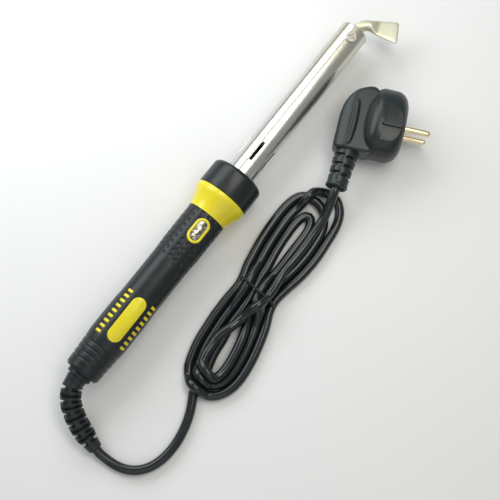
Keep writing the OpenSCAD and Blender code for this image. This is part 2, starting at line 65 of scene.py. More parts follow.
def onFloor(points):
    return np.asarray(points, float) * mm + np.array([rearX, axisY, 0.0])


plugPlace = {"x": 282.7, "y": -76.2, "z": 20.0, "turn": -66.0}


def inPlug(points):
    # Turns the plug's own millimetres about Z and moves them to the plug's place on the floor
    turn = math.radians(plugPlace["turn"])
    points = np.asarray(points, float)
    x = points[..., 0] * math.cos(turn) - points[..., 1] * math.sin(turn) + plugPlace["x"]
    y = points[..., 0] * math.sin(turn) + points[..., 1] * math.cos(turn) + plugPlace["y"]
    return onFloor(np.stack([x, y, points[..., 2] + plugPlace["z"]], axis=-1))


def smoothStep(value, low, high):
    # 3t^2 - 2t^3 of how far the value has come from low to high
    t = np.clip((value - low) / (high - low), 0, 1)
    return t * t * (3 - 2 * t)


def stationRadius(x, stations):
    # Between two [station, radius] pairs the radius follows half a cosine wave
    xs, rs = np.array(stations, float).T
    i = np.clip(np.searchsorted(xs, x, side="right") - 1, 0, len(xs) - 2)
    t = np.clip((x - xs[i]) / (xs[i + 1] - xs[i]), 0, 1)
    return rs[i] + (rs[i + 1] - rs[i]) * (1 - np.cos(np.pi * t)) / 2


def gridFaces(rows, cols, wrapRows, start):
    # Corner numbers of the quads between neighbouring rows and columns; columns always close
    i = np.arange(rows if wrapRows else rows - 1)[:, None]
    j = np.arange(cols)[None, :]
    i2 = (i + 1) % rows
    j2 = (j + 1) % cols
    quads = np.stack([i * cols + j, i * cols + j2, i2 * cols + j2, i2 * cols + j], axis=-1)
    return quads.reshape(-1, 4) + start


def capFaces(rows, cols, start):
    # One closing face over the first ring and one over the last
    first = (start + np.arange(cols)[::-1]).tolist()
    last = (start + (rows - 1) * cols + np.arange(cols)).tolist()
    return [first, last]


def makePiece(name, grids, finish, sharp=40, caps=False, wrapRows=False, drop=None):
    # Joins grids of points into one closed mesh, with creases where faces meet at a sharp angle
    points = np.concatenate([grid.reshape(-1, 3) for grid in grids])
    faces = []
    start = 0
    for grid in grids:
        rows, cols = grid.shape[:2]
        quads = gridFaces(rows, cols, wrapRows, start)
        if drop is not None:
            quads = quads[~drop(quads)]
        faces += quads.tolist()
        if caps:
            faces += capFaces(rows, cols, start)
        start += rows * cols
    mesh = bpy.data.meshes.new(name)
    mesh.from_pydata(points.tolist(), [], faces)
    piece = bpy.data.objects.new(name, mesh)
    bpy.context.scene.collection.objects.link(piece)
    creaseMesh(piece, sharp)
    piece.data.materials.append(finish)
    return piece


def creaseMesh(piece, sharp):
    # Merges doubled points, turns every shell outwards and creases edges over the sharp angle
    work = bmesh.new()
    work.from_mesh(piece.data)
    bmesh.ops.remove_doubles(work, verts=work.verts, dist=2e-6)
    bmesh.ops.dissolve_degenerate(work, dist=1e-7, edges=work.edges)
    bmesh.ops.recalc_face_normals(work, faces=work.faces)
    limit = math.radians(sharp)
    for face in work.faces:
        face.smooth = True
    for edge in work.edges:
        edge.smooth = not (len(edge.link_faces) == 2 and edge.calc_face_angle(0) > limit)
    work.to_mesh(piece.data)
    work.free()


def applyModifiers(piece):
    # Swaps the mesh for what its modifiers make of it
    depsgraph = bpy.context.evaluated_depsgraph_get()
    made = bpy.data.meshes.new_from_object(piece.evaluated_get(depsgraph), depsgraph=depsgraph)
    piece.modifiers.clear()
    piece.data = made


def ringAngles(count):
    return np.linspace(0, 2 * np.pi, count, endpoint=False)


def turnedGrid(profile, count=128):
    # Revolves [station, radius] pairs about the iron's axis: y = r sin a, z = r cos a
    x, r = np.array(profile, float).T
    a = ringAngles(count)
    return np.stack([np.broadcast_to(x[:, None], (len(x), count)),
                     r[:, None] * np.sin(a), r[:, None] * np.cos(a)], axis=-1)


def arcPairs(cx, cr, radius, first, last, count=10):
    # [station, radius] pairs on an arc about (cx, cr) between two angles in degrees
    a = np.radians(np.linspace(first, last, count))
    return np.stack([cx + radius * np.cos(a), cr + radius * np.sin(a)], axis=1).tolist()


def sweptGrid(path, radii, count=24, phase=0.0):
    # Circles of the given radii square to a path: centre + r cos a * side + r sin a * up
    tangent = np.gradient(path, axis=0)
    tangent /= np.linalg.norm(tangent, axis=1)[:, None]
    side = np.cross([0.0, 0.0, 1.0], tangent)
    side /= np.linalg.norm(side, axis=1)[:, None]
    up = np.cross(tangent, side)
    a = ringAngles(count) + phase
    r = np.broadcast_to(np.asarray(radii, float).reshape(len(path), -1), (len(path), count))
    return (path[:, None] + (r * np.cos(a))[..., None] * side[:, None]
            + (r * np.sin(a))[..., None] * up[:, None])


def pathStations(path):
    # Running distance along a path, from 0 at its start
    return np.concatenate([[0], np.cumsum(np.linalg.norm(np.diff(path, axis=0), axis=1))])


def resample(points, step):
    # Points at even steps along a Catmull-Rom curve through the given ones
    points = np.asarray(points, float)
    ends = np.concatenate([[2 * points[0] - points[1]], points, [2 * points[-1] - points[-2]]])
    t = np.linspace(0, 1, 12, endpoint=False)[None, :, None]
    a, b, c, d = ends[:-3, None], ends[1:-2, None], ends[2:-1, None], ends[3:, None]
    curve = 0.5 * (2 * b + (c - a) * t + (2 * a - 5 * b + 4 * c - d) * t ** 2
                   + (3 * b - a - 3 * c + d) * t ** 3)
    curve = np.concatenate([curve.reshape(-1, 3), points[-1:]])
    along = pathStations(curve)
    even = np.linspace(0, along[-1], max(2, int(round(along[-1] / step)) + 1))
    return np.stack([np.interp(even, along, curve[:, k]) for k in range(3)], axis=1)


def roundedEnd(along, radii, corner):
    # Rounds a tube's far edge: the radius falls by a quarter circle over the last corner of its length
    past = np.maximum(0, along - along[-1] + corner)
    return radii - corner + np.sqrt(np.maximum(0, corner ** 2 - past ** 2))


view = {
    "eye": (30.9, -126.4, 684.7),
    "target": (146.2, -37.6, 0.0),
    "up": (0.792, 0.610, 0.0),
    "lens": 67.5,
    "sensor": 36.0,
    "keyLight": {"power": 1.7, "size": (0.7, 0.3), "place": (280, 350, 330), "colour": (0.93, 0.97, 1.0)},
    "fillLight": {"power": 0.5, "size": (0.6, 0.6), "place": (-260, -330, 520), "colour": (1.0, 1.0, 1.0)},
    "topLight": {"power": 1.5, "size": (0.5, 0.25), "place": (360, -110, 720), "colour": (1.0, 0.97, 0.86)},
    "aim": (170, -35, 0),
    "sky": 0.27,
    "exposure": 0.38,
}


def placeCamera():
    # Looks from the eye to the target, with the given direction up in the picture
    eye, target = (Vector(onFloor(view[key])) for key in ("eye", "target"))
    back = (eye - target).normalized()
    right = Vector(view["up"]).cross(back).normalized()
    up = back.cross(right)
    cameraData = bpy.data.cameras.new("viewCamera")
    cameraData.lens = view["lens"]
    cameraData.sensor_width = view["sensor"]
    cameraData.clip_start = 0.01
    cameraData.clip_end = 20
    camera = bpy.data.objects.new("viewCamera", cameraData)
    camera.matrix_world = Matrix.Translation(eye) @ Matrix((right, up, back)).transposed().to_4x4()
    bpy.context.scene.collection.objects.link(camera)
    bpy.context.scene.camera = camera


def placeLight(name, look):
    # A softbox that faces the middle of the iron
    lamp = bpy.data.lights.new(name, "AREA")
    lamp.energy = look["power"]
    lamp.shape = "RECTANGLE"
    lamp.size, lamp.size_y = look["size"]
    lamp.color = look["colour"]
    light = bpy.data.objects.new(name, lamp)
    place = Vector(onFloor(look["place"]))
    aim = Vector(onFloor(view["aim"])) - place
    light.matrix_world = Matrix.Translation(place) @ aim.to_track_quat("-Z", "Y").to_matrix().to_4x4()
    bpy.context.scene.collection.objects.link(light)


placeCamera()
for lightName in ("keyLight", "fillLight", "topLight"):
    placeLight(lightName, view[lightName])
sky = bpy.data.worlds.new("sky")
sky.use_nodes = True
skyInputs = sky.node_tree.nodes["Background"].inputs
skyInputs["Color"].default_value = (0.96, 0.98, 1.0, 1)
skyInputs["Strength"].default_value = view["sky"]
bpy.context.scene.world = sky
bpy.context.scene.view_settings.view_transform = "Standard"
bpy.context.scene.view_settings.exposure = view["exposure"]
print("camera and lights placed")


class Value:
    # A socket that Python arithmetic turns into Math nodes
    def __init__(self, bench, socket):
        self.bench = bench
        self.socket = socket

    def math(self, operation, first, second):
        return self.bench.node("ShaderNodeMath", {"operation": operation}, {0: first, 1: second})

    def __add__(self, other):
        return self.math("ADD", self, other)

    def __radd__(self, other):
        return self.math("ADD", other, self)

    def __sub__(self, other):
        return self.math("SUBTRACT", self, other)

    def __rsub__(self, other):
        return self.math("SUBTRACT", other, self)

    def __mul__(self, other):
        return self.math("MULTIPLY", self, other)

    def __rmul__(self, other):
        return self.math("MULTIPLY", other, self)

    def __pow__(self, other):
        return self.math("POWER", self, other)


class Bench:
    # One material and the nodes that are added to it
    def __init__(self, name, settings):
        self.material = bpy.data.materials.new(name)
        self.material.use_nodes = True
        self.tree = self.material.node_tree
        self.shader = self.tree.nodes["Principled BSDF"]
        for key, value in settings.items():
            self.shader.inputs[key].default_value = value
        self.place = self.node("ShaderNodeTexCoord", output="Object")

    def node(self, kind, settings=None, sockets=None, output=0):
        made = self.tree.nodes.new(kind)
        for key, value in (settings or {}).items():
            if key == "stops":
                ramp = made.color_ramp.elements
                while len(ramp) < len(value):
                    ramp.new(0.5)
                for stop, (where, colour) in zip(ramp, value):
                    stop.position = where
                    stop.color = (*colour, 1)
            else:
                setattr(made, key, value)
        for key, value in (sockets or {}).items():
            if isinstance(value, Value):
                self.tree.links.new(value.socket, made.inputs[key])
            else:
                made.inputs[key].default_value = value
        return Value(self, made.outputs[output])

    def feed(self, key, value):
        self.tree.links.new(value.socket, self.shader.inputs[key])

    def noise(self, scale, stretch=(1, 1, 1), detail=4.0, rough=0.55):
        # Noise of the given scale per metre, squeezed along the axes by stretch
        spot = self.node("ShaderNodeMapping", None, {"Vector": self.place, "Scale": stretch})
        return self.node("ShaderNodeTexNoise", None, {
            "Vector": spot, "Scale": scale, "Detail": detail, "Roughness": rough})

    def band(self, value, low, high):
        # 0 below low, 1 above high, with a smooth step between
        return self.node("ShaderNodeMapRange", {"interpolation_type": "SMOOTHSTEP"},
                         {"Value": value, "From Min": low, "From Max": high})

    def tint(self, factor, first, second):
        # Colour that goes from first to second with the factor
        sockets = {0: factor}
        for key, colour in ((6, first), (7, second)):
            sockets[key] = colour if isinstance(colour, Value) else (*colour, 1)
        return self.node("ShaderNodeMix", {"data_type": "RGBA"}, sockets, output=2)

    def bump(self, height, depth, strength=1.0):
        self.feed("Normal", self.node("ShaderNodeBump", None, {
            "Height": height, "Distance": depth, "Strength": strength}))


def mouldedFinish(name, look):
    # A moulded skin: cloudy colour, fine grain in the relief, and rubbed patches in the gloss
    bench = Bench(name, {"Coat Weight": look.get("coat", 0.0), "Coat Roughness": 0.12,
                         "Specular IOR Level": look.get("specular", 0.38)})
    cloud = bench.noise(look.get("cloud", 38), detail=3)
    scuff = bench.band(bench.noise(160, detail=6, rough=0.65), 0.56, 0.72)
    grain = bench.noise(look.get("grain", 2600), detail=2)
    low, high = look["rough"]
    colour = bench.tint(bench.band(cloud, 0.35, 0.68), look["colour"], look["shade"])
    bench.feed("Base Color", bench.tint(scuff * look.get("scuff", 0.18), colour, look["worn"]))
    bench.feed("Roughness", low + (high - low) * cloud + scuff * 0.08)
    bench.bump(grain, look.get("relief", 0.00006), look.get("strength", 0.35))
    return bench.material


def metalFinish(name, look):
    # Drawn or polished metal: fine lines one way, soft smudges, and a duller film in patches
    bench = Bench(name, {"Metallic": 1.0})
    lines = bench.noise(look.get("lines", 900), look.get("along", (1, 0.02, 0.02)), detail=3)
    smudge = bench.noise(70, detail=5, rough=0.6)
    film = bench.band(smudge, 0.45, 0.75)
    low, high = look["rough"]
    colour = bench.tint(film, look["colour"], look["shade"])
    bench.feed("Base Color", bench.tint(lines * 0.35, colour, look["worn"]))
    bench.feed("Roughness", low + (high - low) * lines + film * 0.06)
    bench.bump(lines, look.get("relief", 0.00002), look.get("strength", 0.25))
    return bench.material


def barrelFinish(name):
    # Polished tube: fine lines, straw heat tint in front, and painted shade that turns the bore near black
    bench = Bench(name, {"Metallic": 0.94})
    rings = bench.noise(1500, (1, 0.004, 0.004), detail=3)
    smudge = bench.noise(46, (0.6, 1, 1), detail=5, rough=0.6)
    along = bench.node("ShaderNodeSeparateXYZ", None, {0: bench.place}, output=0)
    heat = bench.band(along, barrelHigh[0] - 0.07, barrelHigh[0]) * bench.band(smudge, 0.2, 0.7)
    clean = bench.tint(bench.band(smudge, 0.42, 0.72), (0.66, 0.66, 0.62), (0.54, 0.54, 0.49))
    y, z = (bench.node("ShaderNodeSeparateXYZ", None, {0: bench.place}, output=k) for k in (1, 2))
    reach = ((y - axisY) ** 2 + (z - axisZ) ** 2) ** 0.5
    # painted shade: nearer the axis than the outer skin (the bore wall and the inner part of the front lip)
    # the colour goes near black
    inside = 1 - bench.band(reach, 0.0105, 0.0108)
    polished = bench.tint(heat * 0.6, clean, (0.70, 0.64, 0.48))
    bench.feed("Base Color", bench.tint(inside * 0.9, polished, (0.035, 0.03, 0.028)))
    bench.feed("Roughness", 0.20 + rings * 0.10 + bench.band(smudge, 0.5, 0.8) * 0.08)
    bench.bump(rings, 0.00001, 0.2)
    return bench.material


def bitFinish(name):
    # Pale plated copper: polishing lines, a warmer film in clouds and dull specks
    bench = Bench(name, {"Metallic": 0.6})
    lines = bench.noise(700, (0.15, 1, 1), detail=4)
    cloud = bench.noise(90, detail=5, rough=0.6)
    speck = bench.band(bench.noise(900, detail=2), 0.66, 0.74)
    colour = bench.tint(bench.band(cloud, 0.38, 0.66), (0.74, 0.74, 0.58), (0.68, 0.65, 0.48))
    bench.feed("Base Color", bench.tint(speck * 0.5, colour, (0.45, 0.32, 0.22)))
    bench.feed("Roughness", 0.27 + lines * 0.16 + speck * 0.2)
    bench.bump(lines, 0.00003, 0.3)
    return bench.material


def foilFinish(name):
    # Mottled silver foil with small soft dents
    bench = Bench(name, {"Metallic": 1.0})
    mottle = bench.noise(430, detail=4, rough=0.6)
    cells = bench.node("ShaderNodeTexVoronoi", None, {"Vector": bench.place, "Scale": 900.0})
    colour = bench.tint(bench.band(mottle, 0.44, 0.56), (0.56, 0.55, 0.48), (0.10, 0.10, 0.09))
    bench.feed("Base Color", colour)
    bench.feed("Roughness", 0.28 + mottle * 0.22)
    bench.bump(mottle + cells * 0.4, 0.00012, 0.5)
    return bench.material


def bakedFinish(name, look):
    # Ceramic or mica: layered streaks, chalky cloud and pits
    bench = Bench(name, {"Specular IOR Level": 0.35})
    streak = bench.noise(240, look["along"], detail=5, rough=0.6)
    pits = bench.band(bench.noise(1400, detail=3), 0.6, 0.75)
    colour = bench.tint(streak, look["colour"], look["shade"])
    bench.feed("Base Color", bench.tint(pits * 0.4, colour, look["worn"]))
    bench.feed("Roughness", look["rough"] + streak * 0.15)
    bench.bump(streak - pits * 0.6, 0.00008, 0.4)
    return bench.material


def wovenFinish(name):
    # Braided glass sleeving: two crossing waves make the strands
    bench = Bench(name, {"Specular IOR Level": 0.3, "Sheen Weight": 0.2})
    strands = [bench.node("ShaderNodeTexWave", {"bands_direction": "DIAGONAL"}, {
        "Vector": bench.node("ShaderNodeMapping", None, {"Vector": bench.place, "Scale": scale}),
        "Scale": 420.0, "Distortion": 0.6}, output=1) for scale in ((1, 1, 1), (1, -1, 1))]
    weave = strands[0] * strands[1]
    bench.feed("Base Color", bench.tint(weave, (0.62, 0.60, 0.54), (0.90, 0.88, 0.82)))
    bench.feed("Roughness", 0.85 - weave * 0.2)
    bench.bump(weave, 0.00012, 0.6)
    return bench.material


finishes = {
    "black_plastic": mouldedFinish("handlePlastic", {
        "colour": (0.007, 0.011, 0.012), "shade": (0.010, 0.015, 0.016), "worn": (0.022, 0.028, 0.029),
        "rough": (0.33, 0.42), "relief": 0.00008, "strength": 0.4, "coat": 0.1}),
    "yellow_plastic": mouldedFinish("yellowPlastic", {
        "colour": (0.82, 0.70, 0.020), "shade": (0.76, 0.63, 0.018), "worn": (0.86, 0.76, 0.10),
        "rough": (0.22, 0.30), "relief": 0.00004, "coat": 0.4}),
    "cord_rubber": mouldedFinish("cordSheath", {
        "colour": (0.006, 0.010, 0.011), "shade": (0.009, 0.014, 0.015), "worn": (0.022, 0.028, 0.030),
        "rough": (0.20, 0.30), "grain": 1700, "relief": 0.00005, "strength": 0.3, "coat": 0.3}),
    "boot_rubber": mouldedFinish("bootRubber", {
        "colour": (0.009, 0.014, 0.015), "shade": (0.013, 0.019, 0.020), "worn": (0.028, 0.036, 0.037),
        "rough": (0.34, 0.44), "relief": 0.00007}),
    "plug_rubber": mouldedFinish("plugRubber", {
        "colour": (0.011, 0.018, 0.018), "shade": (0.016, 0.024, 0.024), "worn": (0.030, 0.040, 0.040),
        "rough": (0.32, 0.42), "relief": 0.00007, "coat": 0.1}),
    "clamp_plastic": mouldedFinish("clampNylon", {
        "colour": (0.04, 0.04, 0.043), "shade": (0.055, 0.055, 0.06), "worn": (0.1, 0.1, 0.1),
        "rough": (0.45, 0.6)}),
    "core_sleeve": mouldedFinish("coreSleeve", {
        "colour": (0.20, 0.09, 0.035), "shade": (0.16, 0.07, 0.03), "worn": (0.3, 0.18, 0.1),
        "rough": (0.35, 0.5)}),
    "tie_wire": mouldedFinish("tieWire", {
        "colour": (0.012, 0.013, 0.015), "shade": (0.02, 0.022, 0.025), "worn": (0.08, 0.08, 0.08),
        "rough": (0.3, 0.42), "grain": 4000}),
    "barrel_steel": barrelFinish("barrelSteel"),
    "bit_copper": bitFinish("bitCopper"),
    "badge_silver": foilFinish("badgeFoil"),
    "screw_steel": metalFinish("screwSteel", {
        "colour": (0.55, 0.53, 0.49), "shade": (0.42, 0.39, 0.34), "worn": (0.7, 0.68, 0.64),
        "rough": (0.25, 0.42), "along": (1, 1, 1)}),
    "inner_steel": metalFinish("innerSteel", {
        "colour": (0.52, 0.51, 0.49), "shade": (0.40, 0.38, 0.35), "worn": (0.65, 0.64, 0.62),
        "rough": (0.3, 0.5)}),
    "heater_ribbon": metalFinish("heaterRibbon", {
        "colour": (0.32, 0.30, 0.28), "shade": (0.20, 0.17, 0.15), "worn": (0.4, 0.38, 0.35),
        "rough": (0.4, 0.6)}),
    "brass": metalFinish("pinBrass", {
        "colour": (0.86, 0.76, 0.50), "shade": (0.74, 0.62, 0.38), "worn": (0.95, 0.88, 0.66),
        "rough": (0.2, 0.34), "lines": 1200, "along": (1, 1, 0.05)}),
    "ceramic": bakedFinish("ceramic", {
        "colour": (0.84, 0.82, 0.76), "shade": (0.76, 0.73, 0.66), "worn": (0.55, 0.5, 0.44),
        "rough": 0.5, "along": (1, 1, 1)}),
    "mica": bakedFinish("mica", {
        "colour": (0.62, 0.54, 0.38), "shade": (0.74, 0.68, 0.52), "worn": (0.4, 0.33, 0.22),
        "rough": 0.35, "along": (0.1, 1, 1)}),
    "lead_sleeve": wovenFinish("leadSleeve"),
}
slotOf = {part["node"]: part["material_slot"] for part in frame["record"]["subparts"]}
for nodeName, node in frame["nodes"].items():
    node.data.materials.clear()
    node.data.materials.append(finishes[slotOf[nodeName]])
print("finishes made:", len(finishes))

cord = {
    "diameter": 7.0,
    "step": 1.4,  # between the path's points
    "apart": 2.6,  # diameters along the path, within which it doesn't push itself
    "sink": 0.05,  # fall of every point in one round of settling
    "tie": (123.3, -61.8),
    "spread": 45.0,
    "frontTurn": 2.0,
    "rearTurn": 189.5,
    "boot": [(-3.6, 0, 20.8), (-9, -0.6, 20.6), (-14.5, -2.8, 19.6), (-20, -6.6, 17.7),
             (-24.5, -12, 15.2), (-28.5, -19, 12.3), (-31.5, -26, 9.6), (-33.8, -33, 7.5),
             (-35.5, -40, 6.0)],
    "lead": [(-35.5, -40, 6.0), (-37, -47, 4.6), (-37.5, -54, 3.8), (-36.5, -62, 3.5),
             (-32.5, -70.5, 3.5), (-25.5, -77.5, 3.5), (-16, -81.5, 3.5), (-5, -83, 3.5),
             (6, -82.5, 3.5), (17, -80, 3.5), (27, -76.5, 3.5), (36, -72.5, 3.5)],
    "tail": [(185, -69.8, 11), (192, -69, 12.8), (199, -67.6, 15), (206, -65.8, 17.4),
             (213, -63.5, 19.2), (219.5, -61, 20)],
}


def lobePoints(turn, u, v, z):
    # A point u along a lobe and v towards the iron, from the tie
    a = math.radians(turn)
    lift = 1 if math.cos(a) > 0 else -1
    x = cord["tie"][0] + u * math.cos(a) - lift * v * math.sin(a)
    y = cord["tie"][1] + u * math.sin(a) + lift * v * math.cos(a)
    return np.stack([x, y, np.broadcast_to(z, np.shape(x))], axis=-1)


def legSpread(u, slot, lane):
    # The lane opens from its slot at the tie along a quarter sine wave
    return slot + (lane - slot) * np.sin(np.pi / 2 * np.clip(u / cord["spread"], 0, 1))


def loopPoints(turn, first, last, reach, cap, height, hump=None):
    # Out along one lane, round half an ellipse and back along another.
    # first and last are (slot, lane, height at the tie); hump is (place round the end, width, rise).
    u = np.linspace(4, reach - cap, 9)
    fall = smoothStep(u, 6, 30)
    out = lobePoints(turn, u, legSpread(u, first[0], first[1]), first[2] + (height[0] - first[2]) * fall)
    a = np.radians(np.linspace(8, 172, 13))
    middle, half = (first[1] + last[1]) / 2, (first[1] - last[1]) / 2
    z = height[0] + (height[1] - height[0]) * smoothStep(a, 0, np.pi)
    if hump:
        z = z + hump[2] * np.exp(-((np.degrees(a) - hump[0]) / hump[1]) ** 2)
    end = lobePoints(turn, reach - cap + cap * np.sin(a), middle + half * np.cos(a), z)
    back = lobePoints(turn, u, legSpread(u, last[0], last[1]), last[2] + (height[1] - last[2]) * fall)
    return np.concatenate([out, end, back[::-1]])


def hankPoints():
    # The cord's whole way: lead, three loops in front of the tie and three behind it, then the plug
    d = cord["diameter"]
    front, rear = cord["frontTurn"], cord["rearTurn"]
    low, high = 0.5 * d + 1.2, 1.36 * d + 1.2
    floor = 0.5 * d
    on = 1.45 * d
    u = np.array([82, 72, 60, 48, 36, 24, 12, 5.0])
    entry = lobePoints(rear, u, legSpread(u, 3.7, 8.0), floor)
    loopC = loopPoints(front, (3.7, 8.6, low), (0, -4.4, high), 74, 8, (floor, floor))
    loopOne = loopPoints(rear, (0, -12.8, high), (7.5, 13.6, high), 78.5, 22, (floor, floor), (110, 24, d))
    loopB = loopPoints(front, (7.5, 14.4, high), (-11.2, -20.2, low), 95.5, 24, (floor, floor),
                       (42, 24, d))
    loopTwo = loopPoints(rear, (-11.2, -19.8, low), (11.2, 20, low), 85.5, 26, (floor, floor),
                         (110, 20, d))
    loopA = loopPoints(front, (11.2, 20.4, low), (-3.7, -13.2, low), 84.5, 22, (floor, floor))
    u = np.array([5, 12, 20, 30, 42, 54])
    z = np.array([low, 0.7 * d, 1.1 * d, on, on, on])
    down = lobePoints(rear, u, legSpread(u, -3.7, -8.4), z)
    a = np.radians(np.linspace(10, 160, 9))
    turnEnd = lobePoints(rear, 58 + 19 * np.sin(a), 2.2 - 10.8 * np.cos(a), on + 0.5 * d * (a / np.pi))
    u = np.array([56, 48, 37, 27, 20, 12, 6.0])
    v = np.array([13.2, 11.6, 6.8, 2.4, -0.8, -4.4, -6.6])
    z = np.array([1.55, 1.5, 1.5, 1.65, 1.9, 2.3, 2.0]) * d
    up = lobePoints(rear, u, v, z)
    over = np.array([(123.3, -69.4, high), (135, -69.6, high), (150, -69.9, 9.6), (165, -70.1, 9.9),
                     (177, -70.1, 10.2)])
    return np.concatenate([np.array(cord["lead"]), entry, loopC, loopOne, loopB, loopTwo, loopA,
                           down, turnEnd, up, over, np.array(cord["tail"])])


def settle(path, rounds=90):
    # Lets the cord lie: strands that overlap push apart, the floor holds, and stiffness keeps it fair
    d = cord["diameter"]
    count = len(path)
    apart = np.abs(np.arange(count)[:, None] - np.arange(count)[None, :]) * cord["step"] > cord["apart"] * d
    for _ in range(rounds):
        gap = path[:, None] - path[None, :]
        far = np.linalg.norm(gap, axis=2) + 1e-9
        press = np.where(apart & (far < d), (d - far) / far, 0.0)
        push = (gap * press[..., None]).sum(axis=1) / np.maximum((press > 0).sum(axis=1), 1)[:, None]
        move = 0.5 * push
        move[:, 2] -= cord["sink"]
        move[:8] = 0  # both ends stay where the boot and the plug hold them
        move[-14:] = 0
        path = path + move
        fair = path.copy()
        fair[1:-1] = 0.25 * path[:-2] + 0.5 * path[1:-1] + 0.25 * path[2:]
        path[4:-4] = fair[4:-4]
        path[:, 2] = np.maximum(path[:, 2], d / 2)
    return path


cordPath = settle(resample(hankPoints(), cord["step"]))
cordPath = onFloor(resample(cordPath, cord["step"]))
cordRadii = np.full(len(cordPath), cord["diameter"] / 2 * mm)
cordPiece = makePiece("cordSheath", [sweptGrid(cordPath, cordRadii)], finishes["cord_rubber"], caps=True)
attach(cordPiece, "iron")
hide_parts("cord_lead", "cord_hank", "cord_tail")

boot = {"radius": 7.5, "endRadius": 5.0, "headRadius": 9.2, "rows": 11, "firstRow": 9.0, "rowsEnd": 3.5,
        "slotDepth": 2.7, "slotHalf": 1.05, "open": 1.2, "wall": 0.15}


def slotDent(along, around, rows, first, pitch, half, open, turn):
    # 1 in a slot, 0 outside: rows of two facing slots, each row turned from the last
    row = np.round((along - first) / pitch)
    near = np.abs(along - first - row * pitch)
    turned = around + row * turn
    reach = np.abs(((turned + np.pi / 2) % np.pi) - np.pi / 2)
    inside = (1 - smoothStep(near, half * 0.75, half * 1.15)) * (1 - smoothStep(reach, open, open + 0.16))
    return inside * ((row >= 0) & (row < rows))


def bootPiece():
    # A tube along the boot's path whose radius tapers and dips where the slots are
    path = resample(np.array(cord["boot"]), 0.32)
    along = pathStations(path)
    whole = along[-1]
    r = boot["radius"] - (boot["radius"] - boot["endRadius"]) * smoothStep(along, 0.72 * whole, 1.02 * whole)
    r = r - 0.5 * np.exp(-((along - 4.5) / 2.5) ** 2)
    r = roundedEnd(along, r, 0.9)
    count = 120
    a = ringAngles(count)
    pitch = (whole - boot["firstRow"] - boot["rowsEnd"]) / boot["rows"]
    dent = slotDent(along[:, None], a[None, :], boot["rows"], boot["firstRow"], pitch,
                    boot["slotHalf"], boot["open"], np.pi / 2)
    depth = np.minimum(boot["slotDepth"], r - cord["diameter"] / 2 - boot["wall"])[:, None]
    tube = sweptGrid(path * mm + np.array([rearX, axisY, 0]), (r[:, None] - dent * depth) * mm, count)
    head = boot["headRadius"]
    neck = inIron(turnedGrid([[3.9, 0.0], [3.9, 7.4], [-0.1, 7.4], [-0.1, head - 0.4]]
                             + arcPairs(-0.7, head - 0.6, 0.6, 60, 90, 4)
                             + arcPairs(-2.9, head - 0.7, 0.7, 90, 180, 6)
                             + [[-3.6, 7.6], [-3.6, 0.0]], 96))
    return makePiece("cordBoot", [tube, neck], finishes["boot_rubber"], caps=True)


bootObject = bootPiece()
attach(bootObject, "iron")
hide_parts("cord_boot")
print("boot made")

tie = {"wire": 0.75, "half": 15.2, "high": 12.6, "turn": -4.0, "square": 0.42, "sway": 0.7}


def tieGrid():
    # One turn of wire round the hank: half * cos^k a across it and high * sin^k a over it
    a = ringAngles(140)
    power = tie["square"]
    y = (tie["half"] + tie["wire"]) * np.sign(np.cos(a)) * np.abs(np.cos(a)) ** power
    z = (tie["high"] / 2 + tie["wire"]) * (1 + np.sign(np.sin(a)) * np.abs(np.sin(a)) ** power)
    turn = math.radians(tie["turn"])
    x = tie["sway"] * np.sin(a) * np.cos(a / 2)
    path = np.stack([cord["tie"][0] + x * math.cos(turn) - y * math.sin(turn),
                     cord["tie"][1] + x * math.sin(turn) + y * math.cos(turn),
                     np.maximum(z, tie["wire"])], axis=1)
    tangent = np.roll(path, -1, axis=0) - np.roll(path, 1, axis=0)
    tangent /= np.linalg.norm(tangent, axis=1)[:, None]
    side = np.cross(tangent, [math.cos(turn), math.sin(turn), 0.0])
    side /= np.linalg.norm(side, axis=1)[:, None]
    up = np.cross(tangent, side)
    b = ringAngles(12)
    r = tie["wire"]
    ring = path[:, None] + r * np.cos(b)[:, None] * side[:, None] + r * np.sin(b)[:, None] * up[:, None]
    return onFloor(ring)


tieObject = makePiece("hankTie", [tieGrid()], finishes["tie_wire"], wrapRows=True)
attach(tieObject, "iron")
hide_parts("hank_tie")
print("tie made")

handle = {
    "stations": [(0, 12.3), (2.4, 13.4), (9, 13.65), (20, 14.3), (31, 15.05), (52, 15.05),
                 (68, 14.5), (101, 14.5), (115, 15.05), (143, 15.15)],
    "length": 143.0, "grooveAt": 8.9, "groovePitch": 4.5, "grooves": 4, "grooveDeep": 0.5,
    "grooveHalf": 0.62, "dimpleAt": 102.3, "dimplePitch": 4.87, "dimpleRows": 9,
    "dimpleColumns": 17, "dimpleRadius": 1.3, "dimpleDeep": 0.62, "faceRoll": 18.0,
    "inlaySeat": 0.6, "seatEdge": 0.35, "badgeAt": 129.0, "badge": (20.0, 11.6), "labelAt": 48.5,
    "label": (37.0, 11.4),
    "barsEachWay": 4, "barPitch": 4.4, "bar": (2.2, 4.8), "barSpread": 45.5, "cavity": 11.2,
    "spigot": 13.0, "spigotLength": 8.0, "neckBore": 7.6, "rearWall": 4.0,
}


def stadiumGap(x, across, length, width):
    # Signed distance from a flat-sided oval's edge
    return np.hypot(np.maximum(np.abs(x) - (length - width) / 2, 0), across) - width / 2


def barGap(x, across, width, length):
    # Signed distance from a rounded bar's edge
    corner = 0.6
    dx = np.abs(x) - width / 2 + corner
    dy = np.abs(across) - length / 2 + corner
    return np.hypot(np.maximum(dx, 0), np.maximum(dy, 0)) + np.minimum(np.maximum(dx, dy), 0) - corner


